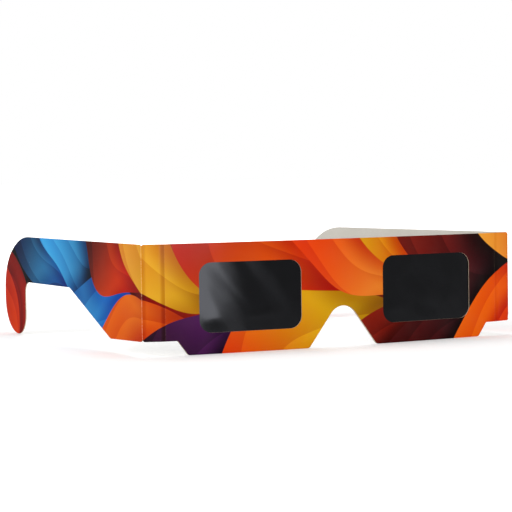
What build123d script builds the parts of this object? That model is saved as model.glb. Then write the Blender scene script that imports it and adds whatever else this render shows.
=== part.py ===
from build123d import *
from math import asin, atan2, cos, pi, sin, sqrt, tan
import os

# Card eclipse glasses, standing on the lower edge of the front and on the tips of both ear hooks.
# Sizes are in millimetres, angles in degrees. +Z is up, the printed front faces -Y and the temples
# point to +Y. Left is the -X side, as the glasses are seen from the front.
# The origin is on the resting plane, under the middle of the glasses' width and depth.

# Card, film and glue
card = 0.45
back_card_thickness = 0.40
film = 0.10
cut_overrun = 5.0

# Windows, and the card left round them, measured along the bowed printed face
bow_radius = 600.0
window_width = 37.85
window_height = 23.4
window_corner = 4.4
bridge_width = 32.7
side_margin = 12.8
sill_margin = 7.1
brow_margin = 6.5

# Lobes under the windows and the bands beside them
band_lift = 4.9
lobe_margin = 4.2
lobe_flare = 3.7
lobe_corner = 1.2
flare_corner = 1.0

# Notch for the nose
notch_width = 27.05
notch_angle = 74.1
notch_radius = 6.0
notch_corner = 1.5

# Films, and the back card and glue that hold them
film_lap = 3.0
film_corner = 0.8
pocket_clearance = 0.3
back_window_margin = 0.6
back_card_end = 2.5
glue_inset = 0.8

# Creases: each is a rolled bead on the edge of one panel, and the next panel turns round it
crease_clearance = 0.05
strip_width = 6.7
nick = 0.5

# Temples, measured from the outer crease
temple_length = 127.4
slope_start = 26.1
slope_end = 62.2
slope_corner = 2.0
heel_lift = 4.25
waist_lift = 20.0
waist_corner = 4.0
hook_width = 21.1
hook_back_radius = 13.3
crown_drop = 11.3
crown_reach = 15.2
crown_share = 0.53

# Folds at rest, as the glasses stand open
left_inner_angle = 15.95
left_outer_angle = 68.7
right_inner_angle = 9.6
right_outer_angle = 79.3

# Sizes that follow from these
window_end = bridge_width / 2 + window_width
eye_distance = bridge_width + window_width
lobe_half_width = window_end + lobe_margin
crease_arc = window_end + side_margin
height = sill_margin + window_height + brow_margin
crease_angle = crease_arc / bow_radius
inner_face_radius = bow_radius - card
seat_radius = card + crease_clearance
shortest_side = crease_clearance / 100
bow_centre = Vector(0, bow_radius)


def polar(centre, radius, angle):
    """Point at a radius and an angle in radians from a centre, counted from +X towards +Y."""
    return centre + Vector(cos(angle), sin(angle)) * radius


def on_bow(radius, angle):
    """Plan point on one of the bowed layers, at an angle in radians from the centre line."""
    return polar(bow_centre, radius, angle - pi / 2)


def across(arc):
    """How far to the side a point lies that is an arc length away from the centre line."""
    return bow_radius * sin(arc / bow_radius)


def rounded_outline(corners):
    """Face through (x, y, radius) corners, each rounded by an arc that is tangent to both sides."""
    starts = []
    ends = []
    edges = []
    for index, (x, y, radius) in enumerate(corners):
        here = Vector(x, y)
        following = corners[(index + 1) % len(corners)]
        back = (Vector(*corners[index - 1][:2]) - here).normalized()
        ahead = (Vector(*following[:2]) - here).normalized()
        half_corner = back.get_angle(ahead) * pi / 360
        starts.append(here + back * (radius / tan(half_corner)))
        ends.append(here + ahead * (radius / tan(half_corner)))
        if radius > 0:
            bisector = (back + ahead).normalized()
            middle = here + bisector * (radius / sin(half_corner) - radius)
            edges.append(ThreePointArc(starts[-1], middle, ends[-1]))
    for index, end in enumerate(ends):
        start = starts[(index + 1) % len(starts)]
        if (start - end).length > shortest_side:
            edges.append(Line(end, start))
    return make_face(edges)


def rectangle(centre_x, low, width, tall, radius):
    """Rounded rectangle, given by the middle of its lower edge."""
    left = centre_x - width / 2
    right = centre_x + width / 2
    return rounded_outline(
        [
            (left, low, radius),
            (right, low, radius),
            (right, low + tall, radius),
            (left, low + tall, radius),
        ]
    )


def upright(outline):
    """Solid that carries an outline, drawn as width and height, through the whole bowed front."""
    return extrude(Plane.XZ * outline, bow_radius * (1 - cos(crease_angle)) + cut_overrun, both=True)


def window_centres():
    """Places of both windows' middle lines to the side of the centre line."""
    return (-across(eye_distance / 2), across(eye_distance / 2))


def front_outline(half_width, inset):
    """Outline of the front between its ends: band, flared lobes and the notch for the nose."""
    flank = notch_angle / 360 * pi
    apex = notch_width / 2 / tan(flank)
    lobe = across(lobe_half_width) - inset
    step = across(lobe_half_width + lobe_flare) - inset
    foot = (notch_width / 2) + inset / cos(flank) - inset * tan(flank)
    right = [
        (foot, inset, notch_corner),
        (lobe, inset, lobe_corner),
        (step, band_lift + inset, flare_corner),
        (half_width, band_lift + inset, 0),
        (half_width, height - inset, 0),
    ]
    left = [(-x, z, radius) for x, z, radius in reversed(right)]
    return rounded_outline([(0, apex + inset / sin(flank), notch_radius + inset)] + right + left)


def windows(margin):
    """Both window openings, larger than the printed card's by a margin all round."""
    return [
        rectangle(
            centre,
            sill_margin - margin,
            window_width + 2 * margin,
            window_height + 2 * margin,
            window_corner + margin,
        )
        for centre in window_centres()
    ]


def films(margin):
    """Outlines of both films, which lap behind the card round each window."""
    lap = film_lap + margin
    return [
        rectangle(
            centre,
            sill_margin - lap,
            window_width + 2 * lap,
            window_height + 2 * lap,
            film_corner,
        )
        for centre in window_centres()
    ]


def layer(outer_radius, thickness, half_angle):
    """One bowed layer of the front at full height, with square ends."""
    inner_radius = outer_radius - thickness
    corners = [
        on_bow(outer_radius, -half_angle),
        on_bow(outer_radius, half_angle),
        on_bow(inner_radius, half_angle),
        on_bow(inner_radius, -half_angle),
    ]
    section = make_face(
        [
            ThreePointArc(corners[0], on_bow(outer_radius, 0), corners[1]),
            Line(corners[1], corners[2]),
            ThreePointArc(corners[2], on_bow(inner_radius, 0), corners[3]),
            Line(corners[3], corners[0]),
        ]
    )
    return extrude(section, height)


def beaded_front():
    """Printed card of the front at full height, ending in a rolled bead at each inner crease."""
    bead_angle = 2 * asin(card / (2 * inner_face_radius))
    outer = [on_bow(bow_radius, -crease_angle), on_bow(bow_radius, crease_angle)]
    inner = [
        on_bow(inner_face_radius, -crease_angle + bead_angle),
        on_bow(inner_face_radius, crease_angle - bead_angle),
    ]
    left_bead = polar(on_bow(inner_face_radius, -crease_angle), card, 3 * pi / 4 - crease_angle)
    right_bead = polar(on_bow(inner_face_radius, crease_angle), card, pi / 4 + crease_angle)
    section = make_face(
        [
            ThreePointArc(outer[0], on_bow(bow_radius, 0), outer[1]),
            ThreePointArc(outer[1], right_bead, inner[1]),
            ThreePointArc(inner[1], on_bow(inner_face_radius, 0), inner[0]),
            ThreePointArc(inner[0], left_bead, outer[0]),
        ]
    )
    return extrude(section, height)


def front_card():
    """Bowed printed card with its windows, lobes and nose notch."""
    body = beaded_front() & upright(front_outline(across(crease_arc) + cut_overrun, 0))
    for window in windows(0):
        body -= upright(window)
    return body


def back_card():
    """Card that is glued behind the front and holds the films in place."""
    half_arc = crease_arc - back_card_end
    outer_radius = bow_radius - card - film
    body = layer(outer_radius, back_card_thickness, half_arc / bow_radius)
    body &= upright(front_outline(across(crease_arc), 0))
    for window in windows(back_window_margin):
        body -= upright(window)
    return body


def bond_layer():
    """Glue between both cards, as thick as the films and left out round them."""
    half_arc = crease_arc - back_card_end - glue_inset
    body = layer(bow_radius - card, film, half_arc / bow_radius)
    body &= upright(front_outline(across(crease_arc), glue_inset))
    for pocket in films(pocket_clearance):
        body -= upright(pocket)
    return body


def filter_film(index):
    """Dark film behind one window, bowed with the cards that hold it."""
    return layer(bow_radius - card, film, crease_angle) & upright(films(0)[index])


def hinge_strip():
    """Narrow panel between two creases, flat, from the inner crease at X = 0 along +X."""
    seat_angle = atan2(card, sqrt(seat_radius * seat_radius - card * card))
    seat_end = polar(Vector(0, 0), seat_radius, -seat_angle)
    bead = Vector(strip_width, 0)
    section = make_face(
        [
            ThreePointArc((seat_radius, 0), polar(Vector(0, 0), seat_radius, -seat_angle / 2), seat_end),
            Line(seat_end, (strip_width, -card)),
            ThreePointArc((strip_width, -card), polar(bead, card, pi / 4), (strip_width - card, 0)),
            Line((strip_width - card, 0), (seat_radius, 0)),
        ]
    )
    outline = rounded_outline(
        [
            (0, band_lift, 0),
            (strip_width - nick, band_lift, 0),
            (strip_width, band_lift + nick, 0),
            (strip_width + 2 * card, band_lift + nick, 0),
            (strip_width + 2 * card, height - nick, 0),
            (strip_width, height - nick, 0),
            (strip_width - nick, height, 0),
            (0, height, 0),
        ]
    )
    return extrude(section, height) & upright(outline)


def temple():
    """Flat arm with its waist over the ear and the hook behind it, from the outer crease along +X."""
    hook_front = temple_length - hook_width
    chord = sqrt(crown_reach * crown_reach + crown_drop * crown_drop)
    crown_run = chord * crown_share
    shoulder_run = chord - crown_run
    shoulder_turn = atan2(crown_reach, crown_drop)
    shoulder_radius = shoulder_run / tan(shoulder_turn / 2)
    crown_radius = crown_run / tan(pi / 4 - shoulder_turn / 2)
    back_radius = min(hook_back_radius, height - crown_drop - shoulder_run)
    outline = rounded_outline(
        [
            (0, band_lift + nick, 0),
            (nick, band_lift, 0),
            (slope_start, heel_lift, slope_corner),
            (slope_end, waist_lift, slope_corner),
            (hook_front, waist_lift, waist_corner),
            (hook_front, 0, hook_width - back_radius),
            (temple_length, 0, back_radius),
            (temple_length, height - crown_drop, shoulder_radius),
            (temple_length - crown_reach, height, crown_radius),
            (nick, height, 0),
            (0, height - nick, 0),
        ]
    )
    seat = Pos(0, 0, height / 2) * Cylinder(seat_radius, height + cut_overrun)
    return extrude(Plane.XZ * outline, card) - seat


def inner_crease(fold):
    """Place of the inner crease on the right side, turned to the strip's direction."""
    place = on_bow(inner_face_radius, crease_angle)
    return Pos(place.X, place.Y, 0) * Rot(0, 0, crease_angle * 180 / pi + fold)


def outer_crease(inner_fold, outer_fold):
    """Place of the outer crease on the right side, turned to the temple's direction."""
    return inner_crease(inner_fold) * Pos(strip_width, 0, 0) * Rot(0, 0, outer_fold)


def tail_depth(inner_fold, outer_fold):
    """How far the rear end of a temple lies behind the front's foremost line."""
    return (outer_crease(inner_fold, outer_fold) * Pos(temple_length, 0, 0)).position.Y


depth = max(tail_depth(left_inner_angle, left_outer_angle), tail_depth(right_inner_angle, right_outer_angle))
frame = Pos(0, -depth / 2, 0)


def side_pieces(inner_fold, outer_fold):
    """Hinge strip and temple of the right side, folded to where they rest."""
    return inner_crease(inner_fold) * hinge_strip(), outer_crease(inner_fold, outer_fold) * temple()


def main():
    left_strip, left_temple = side_pieces(left_inner_angle, left_outer_angle)
    right_strip, right_temple = side_pieces(right_inner_angle, right_outer_angle)
    pieces = {
        "front_card": front_card(),
        "bond_layer": bond_layer(),
        "back_card": back_card(),
        "left_filter": filter_film(0),
        "right_filter": filter_film(1),
        "left_hinge_strip": mirror(left_strip, about=Plane.YZ),
        "right_hinge_strip": right_strip,
        "left_temple": mirror(left_temple, about=Plane.YZ),
        "right_temple": right_temple,
    }
    os.makedirs("parts", exist_ok=True)
    for name, piece in pieces.items():
        export_step(frame * piece, f"parts/{name}.step")


if __name__ == "__main__":
    main()
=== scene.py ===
import math
import bpy
import numpy as np
from mathutils import Matrix, Vector
from mathutils import noise as perlin
from mathutils.geometry import delaunay_2d_cdt


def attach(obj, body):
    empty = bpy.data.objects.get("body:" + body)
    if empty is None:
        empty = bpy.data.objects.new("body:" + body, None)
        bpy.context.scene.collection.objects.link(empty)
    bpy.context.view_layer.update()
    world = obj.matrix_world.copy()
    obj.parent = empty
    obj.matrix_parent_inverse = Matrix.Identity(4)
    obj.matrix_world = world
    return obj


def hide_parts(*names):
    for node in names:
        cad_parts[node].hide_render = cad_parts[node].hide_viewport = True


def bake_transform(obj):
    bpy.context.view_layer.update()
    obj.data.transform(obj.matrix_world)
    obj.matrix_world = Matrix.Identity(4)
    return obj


# Card eclipse glasses. The printed blank is laid out flat in millimetres, as width along the card (s)
# and height (z), and is then bowed, creased and folded onto the frame. Left is the -X side.

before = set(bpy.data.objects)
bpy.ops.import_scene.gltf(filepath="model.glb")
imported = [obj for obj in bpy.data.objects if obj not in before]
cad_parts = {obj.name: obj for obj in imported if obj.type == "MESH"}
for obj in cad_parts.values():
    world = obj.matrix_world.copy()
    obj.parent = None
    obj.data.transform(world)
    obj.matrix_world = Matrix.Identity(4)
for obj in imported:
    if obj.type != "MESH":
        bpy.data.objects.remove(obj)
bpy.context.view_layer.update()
MM = 0.001

# The frame's own sizes, in millimetres and degrees
CARD = 0.45
BACK_CARD = 0.40
FILM = 0.10
BOW = 600.0
HEIGHT = 37.0
WINDOW_WIDTH = 37.85
WINDOW_HEIGHT = 23.4
WINDOW_CORNER = 4.4
EYE_DISTANCE = 70.55
SILL = 7.1
BAND = 4.9
LOBE_HALF = 58.4
LOBE_FLARE = 3.7
LOBE_CORNER = 1.2
FLARE_CORNER = 1.0
NOTCH_WIDTH = 27.05
NOTCH_ANGLE = 74.1
NOTCH_RADIUS = 6.0
NOTCH_CORNER = 1.5
FILM_LAP = 3.0
FILM_CORNER = 0.8
BACK_END = 2.5
BACK_MARGIN = 0.6
CREASE = 67.0
STRIP = 6.7
NICK = 0.5
TEMPLE = 127.4
SLOPE_START = 26.1
SLOPE_END = 62.2
SLOPE_CORNER = 2.0
HEEL_LIFT = 4.25
WAIST_LIFT = 20.0
WAIST_CORNER = 4.0
HOOK_WIDTH = 21.1
HOOK_BACK = 13.3
CROWN_REACH = 15.2
CROWN_DROP = 11.3
CROWN_SHARE = 0.53
# Inner and outer fold at rest, by side
FOLDS = {-1: (15.95, 68.7), 1: (9.6, 79.3)}
BODY = {-1: "left", 1: "right"}

# Sizes that only the dressed model has: rounding of cut edges, bent bands and pressed grooves
RIM = 0.06
FILM_RIM = 0.02
SEAM = 1.35
BEND = 1.05
GROOVE_DEPTH = 0.13
GROOVE_HALF = 1.25

# The films' swell within the windows
SWELL_EDGE = 5.0
SWELL_SCALE = (0.055, 0.075)
SWELL_START = (3.1, 1.7, 0.4)
SWELL_HEIGHT = 0.09
RIPPLE_SCALE = 2.3
RIPPLE_HEIGHT = 0.02

# Fineness of the meshes
BLANK_GRID = 2.3
BACK_GRID = 2.6
FILM_GRID = 1.3
ARC_STEP = 0.7
WINDOW_STEP = 0.45
LEAST_ARC_PARTS = 4
FOLD_COLUMNS = 17
FOLD_MARGIN = 0.15
COLUMN_STEP = 1.6
EDGE_GAP = 0.55
COLUMN_GAP = 0.3
FOLD_ROUNDS = 40

# Tolerances, and a width past every end
MERGE_GAP = 1e-4
SEAM_GAP = 1e-4
CUT_GAP = 1e-5
SAME = 1e-6
MESH_GAP = 1e-7
FAR = 1e9

OUTER_CREASE = CREASE + STRIP
INNER_RADIUS = BOW - CARD


def turn(v, angle):
    c, s = math.cos(angle), math.sin(angle)
    return np.array([v[0] * c - v[1] * s, v[0] * s + v[1] * c])


def heading(angle):
    return np.array([math.cos(angle), math.sin(angle)])


def outward(angle):
    """Direction from a panel with this heading towards its printed face."""
    return np.array([math.sin(angle), -math.cos(angle)])


def bow_point(radius, angle):
    return np.array([radius * math.sin(angle), BOW - radius * math.cos(angle)])


def creases(side):
    """Plan places of both creases of a side, as if it were the right one.

    The three angles are the headings of the front's end, the strip and the arm.
    """
    inner_fold, outer_fold = (math.radians(x) for x in FOLDS[side])
    h0 = CREASE / BOW
    h1 = h0 + inner_fold
    h2 = h1 + outer_fold
    a_in = bow_point(INNER_RADIUS, h0)
    a_out = a_in + STRIP * heading(h1)
    return a_in, a_out, (h0, h1, h2)


def tail(side):
    """How far back a temple reaches."""
    _, a_out, h = creases(side)
    return a_out[1] + TEMPLE * math.sin(h[2])


SHIFT = max(tail(-1), tail(1)) / 2


def smooth(t):
    t = min(1.0, max(0.0, t))
    return t * t * (3 - 2 * t)


def fold_weight(base, axis, fold, start, end):
    """Share of the fold that a point takes.

    The folded place gives the same share when it is projected on the bend from start to end.
    """
    d = end - start
    w = 0.5
    for _ in range(FOLD_ROUNDS):
        p = axis + turn(base - axis, w * fold)
        w = smooth(float((p - start) @ d) / float(d @ d))
    return w


def bend_ends(side, crease):
    """Start and end of a crease's bend, in plan, on the card's inner face."""
    a_in, a_out, h = creases(side)
    axis = a_in if crease == 0 else a_out
    return axis - BEND * heading(h[crease]), axis + BEND * heading(h[crease + 1])


def groove(u):
    """Depth of the groove that is pressed along an inner crease, u from the crease."""
    if abs(u) >= GROOVE_HALF:
        return 0.0
    return GROOVE_DEPTH * math.cos(math.pi / 2 * u / GROOVE_HALF) ** 2


def place(s, z, out):
    """Point of the blank, a distance out from its inner face, in metres in the frame."""
    side = -1 if s < 0 else 1
    w = abs(s)
    a_in, a_out, h = creases(side)
    if w < CREASE + STRIP / 2:
        crease, axis, u = 0, a_in, w - CREASE
        out = out - groove(u)
    else:
        crease, axis, u = 1, a_out, w - OUTER_CREASE
    if crease == 0 and u < 0:
        p = bow_point(INNER_RADIUS + out, w / BOW)
    else:
        p = axis + u * heading(h[crease]) + out * outward(h[crease])
    fold = h[crease + 1] - h[crease]
    if abs(u) < SEAM + SAME:
        share = fold_weight(p, axis, fold, *bend_ends(side, crease))
        p = axis + turn(p - axis, fold * share)
    elif u > 0:
        p = axis + turn(p - axis, fold)
    return Vector((side * p[0] * MM, (p[1] - SHIFT) * MM, z * MM))


def bowed(s, z, out):
    """Point on one of the bowed layers, a distance out from the printed card's inner face."""
    p = bow_point(INNER_RADIUS + out, s / BOW)
    return Vector((p[0] * MM, (p[1] - SHIFT) * MM, z * MM))


# Flat outlines

def rounded(corners, step=ARC_STEP):
    """Closed outline through (x, z, radius) corners, as points."""
    points = []
    for i, (x, z, r) in enumerate(corners):
        here = np.array([x, z], float)
        back = np.array(corners[i - 1][:2], float) - here
        ahead = np.array(corners[(i + 1) % len(corners)][:2], float) - here
        back /= np.linalg.norm(back)
        ahead /= np.linalg.norm(ahead)
        if r <= 0:
            points.append(here)
            continue
        half = math.acos(max(-1.0, min(1.0, float(back @ ahead)))) / 2
        mid = back + ahead
        centre = here + mid / np.linalg.norm(mid) * r / math.sin(half)
        first = here + back * r / math.tan(half)
        start = math.atan2(*(first - centre)[::-1])
        sweep = math.pi - 2 * half
        if back[0] * ahead[1] - back[1] * ahead[0] > 0:
            sweep = -sweep
        n = max(LEAST_ARC_PARTS, math.ceil(abs(sweep) * r / step))
        points += [centre + r * heading(start + sweep * k / n) for k in range(n + 1)]
    kept = []
    for p in points:
        if not kept or np.linalg.norm(p - kept[-1]) > MERGE_GAP:
            kept.append(p)
    if np.linalg.norm(kept[0] - kept[-1]) < MERGE_GAP:
        kept.pop()
    return kept


def along_bow(x):
    """Width along the bowed card of a width seen from the front."""
    return BOW * math.asin(x / BOW)


def across(arc):
    """Width seen from the front of a width along the bowed card."""
    return BOW * math.sin(arc / BOW)


def to_arc(points):
    return [np.array([along_bow(p[0]), p[1]]) for p in points]


def front_right():
    """The nose notch's apex, and the lower corners of the front's right half."""
    apex = NOTCH_WIDTH / 2 / math.tan(math.radians(NOTCH_ANGLE / 2))
    return (0, apex, NOTCH_RADIUS), [
        (NOTCH_WIDTH / 2, 0, NOTCH_CORNER),
        (across(LOBE_HALF), 0, LOBE_CORNER),
        (across(LOBE_HALF + LOBE_FLARE), BAND, FLARE_CORNER),
    ]


def arm_right():
    """Corners of the right temple, with a nick at both ends of the outer crease."""
    o = OUTER_CREASE
    end = o + TEMPLE
    hook = end - HOOK_WIDTH
    chord = math.hypot(CROWN_REACH, CROWN_DROP)
    shoulder = math.atan2(CROWN_REACH, CROWN_DROP)
    back_radius = chord * (1 - CROWN_SHARE) / math.tan(shoulder / 2)
    top_radius = chord * CROWN_SHARE / math.tan(math.pi / 4 - shoulder / 2)
    return [
        (o - NICK, BAND, 0),
        (o, BAND + NICK, 0),
        (o + NICK, BAND, 0),
        (o + SLOPE_START, HEEL_LIFT, SLOPE_CORNER),
        (o + SLOPE_END, WAIST_LIFT, SLOPE_CORNER),
        (hook, WAIST_LIFT, WAIST_CORNER),
        (hook, 0, HOOK_WIDTH - HOOK_BACK),
        (end, 0, HOOK_BACK),
        (end, HEIGHT - CROWN_DROP, back_radius),
        (end - CROWN_REACH, HEIGHT, top_radius),
        (o + NICK, HEIGHT, 0),
        (o, HEIGHT - NICK, 0),
        (o - NICK, HEIGHT, 0),
    ]


def mirrored(corners):
    return [(-x, z, r) for x, z, r in reversed(corners)]


def blank_outline():
    apex, front = front_right()
    arm = arm_right()
    outline = rounded([apex] + front + arm + mirrored(arm) + mirrored(front))
    return [np.array([p[0] if abs(p[0]) > CREASE else along_bow(p[0]), p[1]]) for p in outline]


def back_outline():
    apex, front = front_right()
    end = across(CREASE - BACK_END)
    sides = [(end, BAND, 0), (end, HEIGHT, 0)]
    return to_arc(rounded([apex] + front + sides + mirrored(sides) + mirrored(front)))


def rectangle(index, margin, radius):
    """Outline of the left (0) or right (1) window, widened by a margin."""
    centre = (index * 2 - 1) * across(EYE_DISTANCE / 2)
    half = WINDOW_WIDTH / 2 + margin
    low = SILL - margin
    high = SILL + WINDOW_HEIGHT + margin
    corners = [
        (centre - half, low, radius),
        (centre + half, low, radius),
        (centre + half, high, radius),
        (centre - half, high, radius),
    ]
    return to_arc(rounded(corners, WINDOW_STEP))


def split_at(loop, stations, longest):
    """Adds points where an outline crosses given widths, and on its long straight runs."""
    out = []
    for i, p in enumerate(loop):
        q = loop[(i + 1) % len(loop)]
        low, high = sorted((p[0], q[0]))
        cuts = [x for x in stations if low + CUT_GAP < x < high - CUT_GAP]
        cuts.sort(reverse=bool(p[0] > q[0]))
        run = [p] + [p + (q - p) * (x - p[0]) / (q[0] - p[0]) for x in cuts] + [q]
        for a, b in zip(run[:-1], run[1:]):
            n = math.ceil(float(np.linalg.norm(b - a)) / longest)
            out += [a + (b - a) * k / n for k in range(n)]
    return out


def inside(points, loop):
    """Which points lie inside a closed outline."""
    x, y = points[:, 0], points[:, 1]
    hit = np.zeros(len(points), bool)
    for i, a in enumerate(loop):
        b = loop[(i + 1) % len(loop)]
        if a[1] == b[1]:
            continue
        crosses = (a[1] > y) != (b[1] > y)
        hit ^= crosses & (x < (b[0] - a[0]) * (y - a[1]) / (b[1] - a[1]) + a[0])
    return hit


def clearance(points, loops):
    """Distance of each point from the outlines."""
    best = np.full(len(points), FAR)
    for loop in loops:
        for i, a in enumerate(loop):
            b = loop[(i + 1) % len(loop)]
            d = b - a
            t = np.clip(((points - a) @ d) / (d @ d), 0, 1)
            best = np.minimum(best, np.linalg.norm(points - a - t[:, None] * d, axis=1))
    return best


def turned_left(p):
    """Twice the area within an outline, above zero when it runs to the left."""
    return np.sum(p[:, 0] * np.roll(p[:, 1], -1) - np.roll(p[:, 0], -1) * p[:, 1])


class Flat:
    """A flat triangulated sheet: points, triangles, and its outlines as point numbers."""

    def __init__(self, loops, grid, columns=(), seams=()):
        stations = sorted(set(list(columns) + list(seams)))
        loops = [split_at(loop, stations, grid) for loop in loops]
        points, edges, rings = [], [], []
        for loop in loops:
            first = len(points)
            points += [tuple(p) for p in loop]
            n = len(loop)
            edges += [(first + i, first + (i + 1) % n) for i in range(n)]
            rings.append(list(range(first, first + n)))
        for block in self.fill(loops, grid, stations):
            for p in block:
                if not any(inside(p[None], hole)[0] for hole in loops[1:]):
                    points.append(tuple(p))
        at = np.array(points)
        for x in seams:
            on = sorted(np.nonzero(np.abs(at[:, 0] - x) < SAME)[0], key=lambda i: at[i, 1])
            edges += list(zip(on[:-1], on[1:]))
        corners = [Vector(p) for p in points]
        edges = [tuple(map(int, e)) for e in edges]
        made, _, faces, origin, _, _ = delaunay_2d_cdt(corners, edges, [], 0, MESH_GAP)
        self.points = np.array([tuple(p) for p in made])
        new = {}
        for i, olds in enumerate(origin):
            for o in olds:
                new[o] = i
        self.loops = [[new[i] for i in ring] for ring in rings]
        self.choose(np.array([f for f in faces if len(f) == 3]))
        self.inward = {}
        for k, ring in enumerate(self.loops):
            self.face_inward(ring, k == 0)

    def fill(self, loops, grid, stations):
        """Points within the outer outline: a loose grid, and columns at the given widths."""
        lo, hi = np.min(loops[0], axis=0), np.max(loops[0], axis=0)
        xs = np.arange(lo[0], hi[0], grid)
        xs = [x for x in xs if all(abs(x - c) > grid * 0.5 for c in stations)]
        zs = np.arange(lo[1] + grid / 2, hi[1], grid)
        free = np.array([(x, z) for x in xs for z in zs])
        blocks = [free[inside(free, loops[0]) & (clearance(free, loops) > EDGE_GAP)]]
        column_zs = np.arange(lo[1] + COLUMN_STEP / 2, hi[1], COLUMN_STEP)
        fixed = np.array([(x, z) for x in stations for z in column_zs]).reshape(-1, 2)
        if len(fixed):
            near = clearance(fixed, loops) > COLUMN_GAP
            blocks.append(fixed[inside(fixed, loops[0]) & near])
        return blocks

    def choose(self, tris):
        """Keeps the triangles that lie on the sheet, and turns them all the same way."""
        centres = self.points[tris].mean(1)
        good = inside(centres, [self.points[i] for i in self.loops[0]])
        for hole in self.loops[1:]:
            good &= ~inside(centres, [self.points[i] for i in hole])
        self.tris = tris[good]
        self.centres = centres[good]
        a = self.points[self.tris[:, 1]] - self.points[self.tris[:, 0]]
        b = self.points[self.tris[:, 2]] - self.points[self.tris[:, 0]]
        wrong = a[:, 0] * b[:, 1] - a[:, 1] * b[:, 0] < 0
        self.tris[wrong] = self.tris[wrong][:, ::-1]

    def face_inward(self, ring, outer):
        """Stores the mitred direction from each point of an outline into the sheet."""
        p = self.points[ring]
        ahead = np.roll(p, -1, 0) - p
        ahead /= np.linalg.norm(ahead, axis=1)[:, None]
        both = ahead + np.roll(ahead, 1, 0)
        sign = (1 if turned_left(p) > 0 else -1) * (1 if outer else -1)
        n = sign * np.stack([-both[:, 1], both[:, 0]], 1)
        n = n / (np.linalg.norm(n, axis=1)[:, None] ** 2 / 2)
        for i, v in zip(ring, n):
            self.inward[i] = v


def sheet(name, flat, where, thickness, materials, low=0.0, band=None, rim=RIM, seams=()):
    """A piece of card or film with both faces and its rounded cut edge.

    where gives a point's place, low is the lower face's distance out, and band picks the part of
    the flat sheet between two widths. The three materials are those of the outer face, the cut
    edge and the inner face. A face's kind, taken modulo 3, is the number of its material.
    """
    high = low + thickness
    levels = [(rim, high), (0.0, high - rim), (0.0, low + rim), (rim, low)]
    lo, hi = band or (-FAR, FAR)
    verts, made, blank = [], {}, []

    def vertex(i, level):
        key = (i, level)
        if key not in made:
            inset, out = levels[level]
            p = flat.points[i]
            if i in flat.inward:
                p = p + flat.inward[i] * inset
                # A point on a seam stays on it
                if any(abs(flat.points[i][0] - x) < SEAM_GAP for x in seams):
                    p[0] = flat.points[i][0]
            made[key] = len(verts)
            verts.append(where(p[0], p[1], out))
            blank.append((p[0], p[1], out))
        return made[key]

    faces, kinds = [], []
    for tri, c in zip(flat.tris, flat.centres):
        if lo < c[0] < hi:
            faces.append([vertex(i, 0) for i in tri])
            kinds.append(0)
            faces.append([vertex(i, 3) for i in tri[::-1]])
            kinds.append(2)
    for k, ring in enumerate(flat.loops):
        forward = (turned_left(flat.points[ring]) > 0) == (k == 0)
        for n, i in enumerate(ring):
            j = ring[(n + 1) % len(ring)]
            if not lo < (flat.points[i][0] + flat.points[j][0]) / 2 < hi:
                continue
            if not forward:
                i, j = j, i
            for level in range(3):
                upper = [vertex(i, level + 1), vertex(j, level + 1)]
                faces.append(upper + [vertex(j, level), vertex(i, level)])
                kinds.append(level + 3)
    for x in seams:
        if not (abs(x - lo) < SAME or abs(x - hi) < SAME):
            continue
        on = np.nonzero(np.abs(flat.points[:, 0] - x) < SEAM_GAP)[0]
        on = sorted((i for i in on if (i, 0) in made), key=lambda i: flat.points[i, 1])
        quads = [[(i, 3), (j, 3), (j, 0), (i, 0)] for i, j in zip(on[:-1], on[1:])]
        quads.append([(on[0], 0), (on[0], 1), (on[0], 2), (on[0], 3)])
        quads.append([(on[-1], 3), (on[-1], 2), (on[-1], 1), (on[-1], 0)])
        for quad in quads:
            if abs(x - lo) < SAME:
                quad = quad[::-1]
            faces.append([vertex(*key) for key in quad])
            kinds.append(4)

    mesh = bpy.data.meshes.new(name)
    mesh.from_pydata(verts, [], faces)
    for m in materials:
        mesh.materials.append(m)
    mesh.polygons.foreach_set("material_index", [kind % 3 for kind in kinds])
    mesh.polygons.foreach_set("use_smooth", [True] * len(faces))
    attribute = mesh.attributes.new("blank", "FLOAT_VECTOR", "POINT")
    attribute.data.foreach_set("vector", np.array(blank, np.float32).ravel())
    mesh.update()
    # Edges between faces of different kinds stay sharp
    sides = {}
    for poly, kind in zip(mesh.polygons, kinds):
        for key in poly.edge_keys:
            sides.setdefault(key, []).append(kind)
    borders = [len(set(sides.get(tuple(sorted(e.vertices)), [0]))) > 1 for e in mesh.edges]
    sharp = mesh.attributes.new("sharp_edge", "BOOLEAN", "EDGE")
    sharp.data.foreach_set("value", borders)
    mesh.update()
    ob = bpy.data.objects.new(name, mesh)
    bpy.context.scene.collection.objects.link(ob)
    return ob


# Materials. Their patterns lie on the flat blank, so their lengths are millimetres and their scales
# are per millimetre.

def linear(*rgb):
    """Colour from its sRGB values of 0 to 255."""
    return tuple(
        (c / 255) / 12.92 if c <= 10.3 else ((c / 255 + 0.055) / 1.055) ** 2.4 for c in rgb
    ) + (1.0,)


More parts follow.
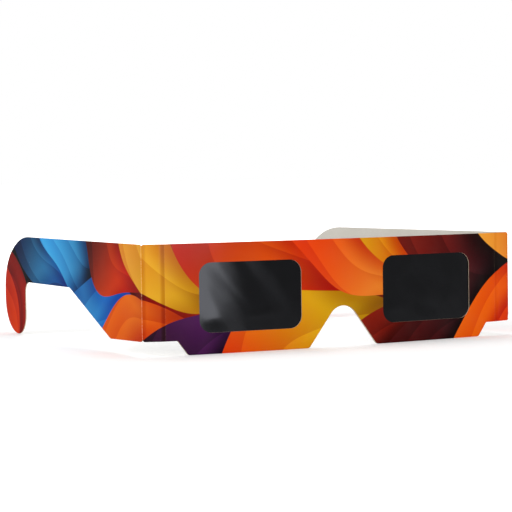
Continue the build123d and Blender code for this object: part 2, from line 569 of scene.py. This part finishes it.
class Shader:
    """A material under construction."""

    def __init__(self, name):
        self.material = bpy.data.materials.new(name)
        self.material.use_nodes = True
        self.tree = self.material.node_tree
        self.tree.nodes.clear()
        self.bsdf = self.tree.nodes.new("ShaderNodeBsdfPrincipled")
        output = self.tree.nodes.new("ShaderNodeOutputMaterial")
        self.tree.links.new(self.bsdf.outputs[0], output.inputs["Surface"])

    def put(self, socket, value):
        """Links a socket into another, or sets its constant."""
        if isinstance(value, bpy.types.NodeSocket):
            self.tree.links.new(value, socket)
        else:
            socket.default_value = value

    def set(self, **values):
        for name, value in values.items():
            self.put(self.bsdf.inputs[name.replace("_", " ")], value)

    def math(self, operation, *values):
        node = self.tree.nodes.new("ShaderNodeMath")
        node.operation = operation
        for socket, value in zip(node.inputs, values):
            self.put(socket, value)
        return node.outputs[0]

    def vector(self, operation, *values):
        node = self.tree.nodes.new("ShaderNodeVectorMath")
        node.operation = operation
        for socket, value in zip(node.inputs, values):
            self.put(socket, value)
        return node.outputs["Value"] if operation in ("DOT_PRODUCT", "LENGTH") else node.outputs[0]

    def split(self, vector):
        """The x, y and z of a vector."""
        node = self.tree.nodes.new("ShaderNodeSeparateXYZ")
        self.put(node.inputs[0], vector)
        return node.outputs

    def ramp(self, value, low, high, to_low=0.0, to_high=1.0, soft=True):
        """Leads a value from low to high over into one from to_low to to_high."""
        node = self.tree.nodes.new("ShaderNodeMapRange")
        node.interpolation_type = "SMOOTHSTEP" if soft else "LINEAR"
        self.put(node.inputs["Value"], value)
        self.put(node.inputs["From Min"], low)
        self.put(node.inputs["From Max"], high)
        self.put(node.inputs["To Min"], to_low)
        self.put(node.inputs["To Max"], to_high)
        return node.outputs[0]

    def mix(self, share, a, b, blend="MIX"):
        node = self.tree.nodes.new("ShaderNodeMix")
        node.data_type = "RGBA"
        node.blend_type = blend
        self.put(node.inputs[0], share)
        self.put(node.inputs[6], a)
        self.put(node.inputs[7], b)
        return node.outputs[2]

    def deepen(self, share, colour):
        """Darkens a colour by itself, so that its hue stays pure."""
        return self.mix(share, colour, colour, "MULTIPLY")

    def noise(self, vector, scale, detail=2.0, roughness=0.5, distortion=0.0):
        node = self.tree.nodes.new("ShaderNodeTexNoise")
        self.put(node.inputs["Vector"], vector)
        node.inputs["Scale"].default_value = scale
        node.inputs["Detail"].default_value = detail
        node.inputs["Roughness"].default_value = roughness
        node.inputs["Distortion"].default_value = distortion
        return node.outputs["Fac"]

    def drift(self, vector, scale, reach):
        """A smooth random shift, up to about a quarter of the reach each way."""
        node = self.tree.nodes.new("ShaderNodeTexNoise")
        self.put(node.inputs["Vector"], vector)
        node.inputs["Scale"].default_value = scale
        node.inputs["Detail"].default_value = 0.0
        centred = self.vector("SUBTRACT", node.outputs["Color"], (0.5, 0.5, 0.5))
        return self.vector("MULTIPLY", centred, (reach, reach, 0.0))

    def cells(self, vector, scale):
        node = self.tree.nodes.new("ShaderNodeTexVoronoi")
        self.put(node.inputs["Vector"], vector)
        node.inputs["Scale"].default_value = scale
        return node.outputs["Distance"]

    def bump(self, height, distance, strength=1.0):
        node = self.tree.nodes.new("ShaderNodeBump")
        node.inputs["Strength"].default_value = strength
        node.inputs["Distance"].default_value = distance
        self.put(node.inputs["Height"], height)
        return node.outputs[0]

    def blank(self):
        """Place on the flat blank."""
        node = self.tree.nodes.new("ShaderNodeAttribute")
        node.attribute_name = "blank"
        return node.outputs["Vector"]

    def place(self):
        """Place in the object, in metres."""
        node = self.tree.nodes.new("ShaderNodeTexCoord")
        return node.outputs["Object"]


INK = {
    "orange": linear(226, 98, 8),
    "amber": linear(226, 153, 50),
    "yellow": linear(208, 172, 18),
    "flame": linear(218, 62, 8),
    "red": linear(174, 28, 10),
    "brick": linear(126, 24, 8),
    "maroon": linear(74, 12, 12),
    "plum": linear(40, 14, 22),
    "violet": linear(86, 28, 94),
    "navy": linear(14, 26, 68),
    "blue": linear(20, 78, 152),
    "sky": linear(64, 168, 226),
    "coal": linear(14, 16, 28),
}

# The print's ground: colours at shares of the way along the card, from GROUND_HALF left of the
# middle to GROUND_HALF right of it
GROUND_HALF = 203.0
GROUND = [
    (0.0, "red"),
    (0.12, "navy"),
    (0.24, "blue"),
    (0.31, "flame"),
    (0.38, "amber"),
    (0.45, "orange"),
    (0.5, "yellow"),
    (0.58, "flame"),
    (0.65, "amber"),
    (0.72, "red"),
    (0.8, "sky"),
    (0.9, "navy"),
    (1.0, "red"),
]

# Overlapping discs of the print: width, height, radius, two colours, and the direction in degrees
# from the first colour to the second
DISCS = [
    (-172, 66, 52, "coal", "navy", 340),
    (-174, -34, 48, "navy", "blue", 20),
    (-207, 2, 33, "flame", "red", 60),
    (-220, 4, 32, "red", "flame", 300),
    (-150, 64, 50, "navy", "sky", 345),
    (-140, -18, 40, "coal", "blue", 20),
    (-122, 70, 50, "sky", "navy", 350),
    (-110, -14, 44, "blue", "sky", 10),
    (-87, 62, 44, "maroon", "flame", 330),
    (-75, -24, 42, "orange", "amber", 350),
    (-52, 62, 46, "amber", "yellow", 340),
    (-46, -26, 42, "plum", "violet", 20),
    (-24, -40, 42, "plum", "navy", 200),
    (-18, 68, 54, "red", "orange", 340),
    (-8, -24, 46, "flame", "yellow", 25),
    (14, 62, 44, "flame", "amber", 350),
    (30, -36, 52, "brick", "maroon", 350),
    (42, 72, 50, "yellow", "flame", 330),
    (50, -20, 38, "maroon", "plum", 20),
    (68, 62, 50, "brick", "plum", 320),
    (90, -21, 48, "orange", "flame", 20),
    (96, 68, 50, "amber", "flame", 340),
    (110, -28, 48, "flame", "brick", 10),
    (126, 60, 46, "sky", "navy", 200),
    (142, -24, 46, "navy", "coal", 20),
    (157, 68, 50, "blue", "navy", 340),
    (176, -28, 48, "coal", "navy", 20),
    (207, 4, 33, "red", "flame", 200),
    (221, 6, 32, "flame", "red", 250),
]
DRIFT_SCALE = 0.022
DRIFT_REACH = 22.0
DISC_BLUR = 0.1
SHADE_WIDTH = 9.0
SHADE = 0.85
COLOUR_TURN = 0.6
LAYER_WIDTHS = (9.0, 12.0, 15.0)
LAYER_LEAN = 0.9
LAYER_SHADE = 0.45


def print_colour(m, at, width):
    """The print: layered wavy discs, each with a soft shade round it, on a ground of many colours."""
    ground = m.tree.nodes.new("ShaderNodeValToRGB")
    elements = ground.color_ramp.elements
    for element, (position, ink) in zip(elements, (GROUND[0], GROUND[-1])):
        element.position = position
        element.color = INK[ink]
    for position, ink in GROUND[1:-1]:
        elements.new(position).color = INK[ink]
    m.put(ground.inputs[0], m.ramp(width, -GROUND_HALF, GROUND_HALF, soft=False))
    colour = ground.outputs[0]
    flat = m.vector("MULTIPLY", at, (1.0, 1.0, 0.0))
    flat = m.vector("ADD", flat, m.drift(flat, DRIFT_SCALE, DRIFT_REACH))
    for number, (x, z, radius, first, second, direction) in enumerate(DISCS):
        away = m.vector("SUBTRACT", flat, (x, z, 0.0))
        distance = m.vector("LENGTH", away)
        colour = m.deepen(m.ramp(distance, radius, radius + SHADE_WIDTH, SHADE, 0.0), colour)
        angle = math.radians(direction)
        aim = (math.cos(angle) / radius, math.sin(angle) / radius, 0.0)
        along = m.vector("DOT_PRODUCT", away, aim)
        ink = m.mix(m.ramp(along, -COLOUR_TURN, COLOUR_TURN), INK[first], INK[second])
        layers = m.math("MULTIPLY", distance, -1 / LAYER_WIDTHS[number % 3])
        layer = m.math("FRACT", m.math("ADD", layers, m.math("MULTIPLY", along, LAYER_LEAN)))
        ink = m.deepen(m.ramp(layer, 0.0, 1.0, 0.0, LAYER_SHADE, soft=False), ink)
        covered = m.ramp(distance, radius - DISC_BLUR, radius + DISC_BLUR, 1.0, 0.0)
        colour = m.mix(covered, colour, ink)
    return colour


# Where the marks along the folds begin and end, past a crease, and how strong they are at each side:
# painted shade in a band beside each fold, a broken line of pale fibres on the outer crease, and a
# painted highlight as a hairline on the groove beside the inner crease
BAND_START = (-0.75, -0.55)
BAND_END = (0.0, 1.1)
EDGE_START = (-1.5, -0.4)
EDGE_END = (-0.2, 0.0)
EDGE_SHARE = 0.7
FOLD_LINE = (0.02, 0.1)
GROOVE_HIGHLIGHT = (0.03, 0.2)
GROOVE_HIGHLIGHT_OFFSET = 0.7
# Strength of the painted shade beside the folds on the left and on the right, and how far it deepens
# the print
LEFT_CREASE_SHADE = 0.7
RIGHT_CREASE_SHADE = 0.2
CREASE_SHADE_DEEPENS = 0.6


def printed_card():
    m = Shader("printed_card")
    at = m.blank()
    width = m.split(at)[0]
    colour = print_colour(m, at, width)
    # Faint unevenness of the ink
    uneven = m.ramp(m.noise(at, scale=0.12, detail=2.0), 0.35, 0.75, 0.0, 0.004)
    colour = m.mix(uneven, colour, linear(240, 220, 200))
    # Distances past the two creases of the point's own side
    reach = m.math("ABSOLUTE", width)
    outer = m.math("SUBTRACT", reach, OUTER_CREASE)
    inner = m.math("SUBTRACT", reach, CREASE)
    # Painted shade: a darker band beside each fold, stronger on the left
    band = m.math("MULTIPLY", m.ramp(inner, *BAND_END, 1.0, 0.0), m.ramp(inner, *BAND_START))
    edge_start = m.ramp(outer, *EDGE_START, 0.0, EDGE_SHARE)
    edge = m.math("MULTIPLY", edge_start, m.ramp(outer, *EDGE_END, 1.0, 0.0))
    strength = m.ramp(width, -1.0, 1.0, LEFT_CREASE_SHADE, RIGHT_CREASE_SHADE)
    painted_crease_shade = m.math("MULTIPLY", m.math("MAXIMUM", band, edge), strength)
    colour = m.deepen(m.math("MULTIPLY", painted_crease_shade, CREASE_SHADE_DEEPENS), colour)
    colour = m.mix(painted_crease_shade, colour, linear(235, 226, 120), "MULTIPLY")
    # Pale fibres in a broken line on the outer crease, and a faint painted highlight, a pale hairline
    # on the groove beside the inner crease
    frayed = m.noise(at, scale=1.6, detail=3.0)
    broken = m.ramp(frayed, 0.35, 0.65, 0.06, 0.42)
    fold = m.math("MULTIPLY", m.ramp(m.math("ABSOLUTE", outer), *FOLD_LINE, 1.0, 0.0), broken)
    beside = m.math("ABSOLUTE", m.math("ADD", inner, GROOVE_HIGHLIGHT_OFFSET))
    faint = m.ramp(frayed, 0.3, 0.7, 0.0, 0.03)
    painted_groove_highlight = m.math("MULTIPLY", m.ramp(beside, *GROOVE_HIGHLIGHT, 1.0, 0.0), faint)
    colour = m.mix(m.math("MAXIMUM", fold, painted_groove_highlight), colour, linear(250, 214, 178))
    # Small scuffs, in patches
    patches = m.ramp(m.noise(at, scale=0.06, detail=2.0), 0.62, 0.68)
    specks = m.math("MULTIPLY", m.ramp(m.cells(at, scale=0.11), 0.0, 0.022, 0.75, 0.0), patches)
    colour = m.mix(specks, colour, linear(235, 228, 218))
    m.set(Base_Color=colour, Specular_IOR_Level=0.0, Coat_Weight=0.08, Coat_Roughness=0.12)
    m.set(Roughness=m.ramp(m.noise(at, scale=0.5, detail=4.0), 0.3, 0.7, 0.4, 0.5))
    grain = m.noise(at, scale=0.9, detail=2.0)
    m.set(Normal=m.bump(grain, distance=0.01 * MM, strength=0.3))
    return m.material


def plain_card():
    m = Shader("plain_card")
    at = m.blank()
    dark = linear(196, 191, 181)
    squeezed = m.vector("MULTIPLY", at, (1.0, 3.0, 3.0))
    fibre = m.noise(squeezed, scale=2.2, detail=4.0, roughness=0.65, distortion=0.4)
    cloud = m.noise(at, scale=0.12, detail=3.0)
    colour = m.mix(m.ramp(fibre, 0.35, 0.7), linear(214, 210, 201), dark)
    colour = m.mix(m.ramp(cloud, 0.3, 0.7, 0.0, 0.25), colour, dark)
    specks = m.ramp(m.cells(at, scale=0.45), 0.0, 0.05, 0.5, 0.0)
    colour = m.mix(specks, colour, linear(150, 140, 128))
    m.set(Base_Color=colour, Specular_IOR_Level=0.2)
    m.set(Roughness=m.ramp(fibre, 0.3, 0.7, 0.75, 0.9))
    m.set(Normal=m.bump(fibre, distance=0.03 * MM, strength=0.8))
    return m.material


def cut_edge():
    m = Shader("cut_edge")
    at = m.blank()
    squeezed = m.vector("MULTIPLY", at, (0.6, 0.6, 14.0))
    layers = m.noise(squeezed, scale=1.0, detail=3.0, roughness=0.6)
    colour = m.mix(m.ramp(layers, 0.35, 0.65), linear(222, 200, 178), linear(190, 170, 148))
    m.set(Base_Color=colour, Specular_IOR_Level=0.1)
    m.set(Roughness=m.ramp(layers, 0.3, 0.7, 0.8, 0.95))
    m.set(Normal=m.bump(layers, distance=0.03 * MM, strength=0.8))
    return m.material


# The waves in the films: slant, scales per millimetre, height in millimetres, and the films' lean
WAVE_SLANT = 0.7
WAVES_ACROSS = 0.07
WAVES_UP = 0.02
WAVE_HEIGHT = 0.12
FILM_LEAN = 0.04


def dark_film():
    m = Shader("dark_film")
    at = m.blank()
    haze = m.noise(at, scale=0.09, detail=4.0, roughness=0.6, distortion=0.5)
    colour = m.mix(m.ramp(haze, 0.35, 0.7), linear(3, 3, 3), linear(8, 8, 9))
    patches = m.ramp(m.noise(at, scale=0.3, detail=2.0), 0.56, 0.62)
    dust = m.math("MULTIPLY", m.ramp(m.cells(at, scale=0.22), 0.01, 0.04, 0.8, 0.0), patches)
    colour = m.mix(dust, colour, linear(150, 150, 150))
    # The film lies in long slanted waves with hazy streaks along them, and leans back a little
    width, height, _ = m.split(at)
    slanted = m.tree.nodes.new("ShaderNodeCombineXYZ")
    across_waves = m.math("ADD", width, m.math("MULTIPLY", height, WAVE_SLANT))
    m.put(slanted.inputs[0], m.math("MULTIPLY", across_waves, WAVES_ACROSS))
    m.put(slanted.inputs[1], m.math("MULTIPLY", height, WAVES_UP))
    waves = m.noise(slanted.outputs[0], scale=1.0, detail=2.0, roughness=0.4)
    lean = m.math("MULTIPLY", height, -FILM_LEAN)
    relief = m.math("ADD", m.math("MULTIPLY", waves, WAVE_HEIGHT), lean)
    m.set(Base_Color=colour, Specular_IOR_Level=0.115, Specular_Tint=linear(241, 244, 255))
    m.set(Roughness=m.ramp(waves, 0.52, 0.7, 0.07, 0.2))
    m.set(Normal=m.bump(relief, MM))
    return m.material


def glue():
    m = Shader("glue")
    # Its scale is per metre
    beads = m.noise(m.place(), scale=700.0, detail=3.0)
    colour = m.mix(m.ramp(beads, 0.3, 0.7), linear(226, 216, 190), linear(198, 186, 158))
    m.set(Base_Color=colour, Specular_IOR_Level=0.3)
    m.set(Roughness=m.ramp(beads, 0.3, 0.7, 0.45, 0.65))
    m.set(Normal=m.bump(beads, distance=0.03 * MM, strength=0.8))
    return m.material


PRINT = printed_card()
BOARD = plain_card()
EDGE = cut_edge()
FILM_LOOK = dark_film()
GLUE = glue()

# The printed blank, in five panels and four creases
edges = [x for c in (CREASE, OUTER_CREASE) for x in (c - SEAM, c + SEAM)]
seams = sorted(edges + [-x for x in edges])
steps = np.linspace(-SEAM + FOLD_MARGIN, SEAM - FOLD_MARGIN, FOLD_COLUMNS)
columns = [side * (c + u) for side in (-1, 1) for c in (CREASE, OUTER_CREASE) for u in steps]
windows = [rectangle(i, 0.0, WINDOW_CORNER) for i in (0, 1)]
blank = Flat([blank_outline()] + windows, BLANK_GRID, columns, seams)
looks = [PRINT, EDGE, BOARD]


def panel(name, ends, body, node):
    ob = sheet(name, blank, place, CARD, looks, band=sorted(ends), seams=seams)
    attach(ob, body)
    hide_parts(node)


def fold(name, side, index, crease, bodies):
    """The bent card over a crease, between the panels on both sides of it."""
    band = sorted((side * (crease - SEAM), side * (crease + SEAM)))
    ob = sheet(name, blank, place, CARD, looks, band=band, seams=seams)
    ends = [
        Vector((side * p[0] * MM, (p[1] - SHIFT) * MM, HEIGHT / 2 * MM))
        for p in bend_ends(side, index)
    ]
    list(bodies)
    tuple(ends[0])
    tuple(ends[1])
    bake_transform(ob)


panel("front_panel", (-CREASE + SEAM, CREASE - SEAM), "front", "front_card")
for side, word in BODY.items():
    strip, arm = f"{word}_strip", f"{word}_arm"
    strip_ends = (side * (CREASE + SEAM), side * (OUTER_CREASE - SEAM))
    arm_ends = (side * (OUTER_CREASE + SEAM), side * FAR)
    panel(f"{word}_strip_panel", strip_ends, strip, f"{word}_hinge_strip")
    panel(f"{word}_temple_panel", arm_ends, arm, f"{word}_temple")
    fold(f"{word}_inner_fold", side, 0, CREASE, ("front", strip))
    fold(f"{word}_outer_fold", side, 1, OUTER_CREASE, (strip, arm))

# The card behind the front
openings = [rectangle(i, BACK_MARGIN, WINDOW_CORNER + BACK_MARGIN) for i in (0, 1)]
back = Flat([back_outline()] + openings, BACK_GRID)
ob = sheet("back_panel", back, bowed, BACK_CARD, [BOARD, EDGE, BOARD], low=-FILM - BACK_CARD)
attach(ob, "front")
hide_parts("back_card")


def film_surface(index):
    """Where a film's points lie: flat under the card's edge, and a little swollen in the window."""
    middle = (index * 2 - 1) * EYE_DISTANCE / 2

    def where(s, z, out):
        x, y = s - middle, z - SILL - WINDOW_HEIGHT / 2
        fade_x = smooth((WINDOW_WIDTH / 2 - abs(x)) / SWELL_EDGE)
        fade_y = smooth((WINDOW_HEIGHT / 2 - abs(y)) / SWELL_EDGE)
        start_x, start_y, start_z = SWELL_START
        p = Vector((x * SWELL_SCALE[0] + start_x * index, y * SWELL_SCALE[1] + start_y, start_z))
        swell = SWELL_HEIGHT * perlin.noise(p) + RIPPLE_HEIGHT * perlin.noise(p * RIPPLE_SCALE)
        return bowed(s, z, out + fade_x * fade_y * swell)

    return where


for index, word in enumerate(("left", "right")):
    flat = Flat([rectangle(index, FILM_LAP, FILM_CORNER)], FILM_GRID)
    looks = [FILM_LOOK] * 3
    ob = sheet(f"{word}_film", flat, film_surface(index), FILM, looks, low=-FILM, rim=FILM_RIM)
    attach(ob, "front")
    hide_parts(f"{word}_filter")

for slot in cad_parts["bond_layer"].material_slots:
    slot.material = GLUE

# Camera at the photograph's angle: lens in millimetres, directions in degrees, place in metres
LENS = 137.01
SENSOR = 36.0
CLIP_START = 0.01
CAMERA_YAW = 28.635
CAMERA_PITCH = -2.573
CAMERA_ROLL = -0.845
CAMERA_PLACE = (-0.34626, -0.63914, 0.06143)

scene = bpy.context.scene
camera = bpy.data.objects.new("camera", bpy.data.cameras.new("camera"))
scene.collection.objects.link(camera)
scene.camera = camera
camera.data.lens = LENS
camera.data.sensor_width = SENSOR
camera.data.dof.use_dof = False
camera.data.clip_start = CLIP_START
yaw, pitch, roll = (math.radians(x) for x in (CAMERA_YAW, CAMERA_PITCH, CAMERA_ROLL))
forward = Vector((math.sin(yaw) * math.cos(pitch), math.cos(yaw) * math.cos(pitch), math.sin(pitch)))
level = Vector((math.cos(yaw), -math.sin(yaw), 0))
lift = level.cross(forward)
right = level * math.cos(roll) + lift * math.sin(roll)
up = lift * math.cos(roll) - level * math.sin(roll)
rows = [(right[i], up[i], -forward[i], CAMERA_PLACE[i]) for i in range(3)]
camera.matrix_world = Matrix(rows + [(0, 0, 0, 1)])

# Floor, world and lamps
FLOOR_HALF = 8
FLOOR_DROP = 0.00005
GLOW_RADII = (0.1, 0.6)
GLOW = (0.2, 0.66)
WORLD_LIGHT = 0.45
WORLD_SEEN = 1.0
# Name, place, aim, width and height, and watts of each lamp
LAMPS = [
    ("front", (-0.042, -0.775, 0.058), (-0.042, 0.0, 0.058), (0.474, 0.106), 2.15),
    ("key", (-0.05, -0.85, 0.55), (0.0, 0.0, 0.02), (0.6, 0.4), 0.8),
    ("back", (0.3, 1.0, 0.5), (0.0, 0.0, 0.02), (0.9, 0.6), 3.5),
    ("side", (-1.1, 0.1, 0.7), (0.0, 0.0, 0.02), (0.9, 0.8), 6.0),
    ("top", (0.2, 0.3, 1.4), (0.0, 0.0, 0.0), (1.2, 1.2), 8.0),
]

scene.view_settings.view_transform = "Standard"


def seen_directly(tree):
    """1 for rays from the camera, a reflection or through glass, and 0 for the light on the object."""
    path = tree.nodes.new("ShaderNodeLightPath")
    total = path.outputs["Is Camera Ray"]
    for ray in ("Is Glossy Ray", "Is Transmission Ray"):
        add = tree.nodes.new("ShaderNodeMath")
        add.operation = "ADD"
        add.use_clamp = True
        tree.links.new(total, add.inputs[0])
        tree.links.new(path.outputs[ray], add.inputs[1])
        total = add.outputs[0]
    return total


# The floor glows towards its rim, so that it meets the white background and keeps a faint shadow
floor_mesh = bpy.data.meshes.new("floor")
floor_corners = [(x * FLOOR_HALF, y * FLOOR_HALF, 0) for x, y in ((-1, -1), (1, -1), (1, 1), (-1, 1))]
floor_mesh.from_pydata(floor_corners, [], [(0, 1, 2, 3)])
floor = bpy.data.objects.new("floor", floor_mesh)
scene.collection.objects.link(floor)
floor.location.z = -FLOOR_DROP
m = Shader("floor")
m.set(Base_Color=linear(238, 238, 238), Roughness=0.9, Specular_IOR_Level=0.0)
glow = m.ramp(m.vector("LENGTH", m.place()), *GLOW_RADII, *GLOW, soft=False)
m.set(Emission_Color=(1, 1, 1, 1))
m.set(Emission_Strength=m.math("MULTIPLY", seen_directly(m.tree), glow))
floor_mesh.materials.append(m.material)

world = bpy.data.worlds.new("studio")
scene.world = world
world.use_nodes = True
tree = world.node_tree
background = tree.nodes["Background"]
background.inputs[0].default_value = (1, 1, 1, 1)
strength = tree.nodes.new("ShaderNodeMapRange")
strength.inputs["To Min"].default_value = WORLD_LIGHT
strength.inputs["To Max"].default_value = WORLD_SEEN
tree.links.new(seen_directly(tree), strength.inputs["Value"])
tree.links.new(strength.outputs[0], background.inputs[1])

for name, at, aim, size, power in LAMPS:
    lamp = bpy.data.lights.new(name, "AREA")
    lamp.shape = "RECTANGLE"
    lamp.size, lamp.size_y = size
    lamp.energy = power
    ob = bpy.data.objects.new(name, lamp)
    scene.collection.objects.link(ob)
    ob.location = at
    ob.rotation_mode = "QUATERNION"
    ob.rotation_quaternion = (Vector(aim) - Vector(at)).to_track_quat("-Z", "Y")
    ob.visible_camera = False
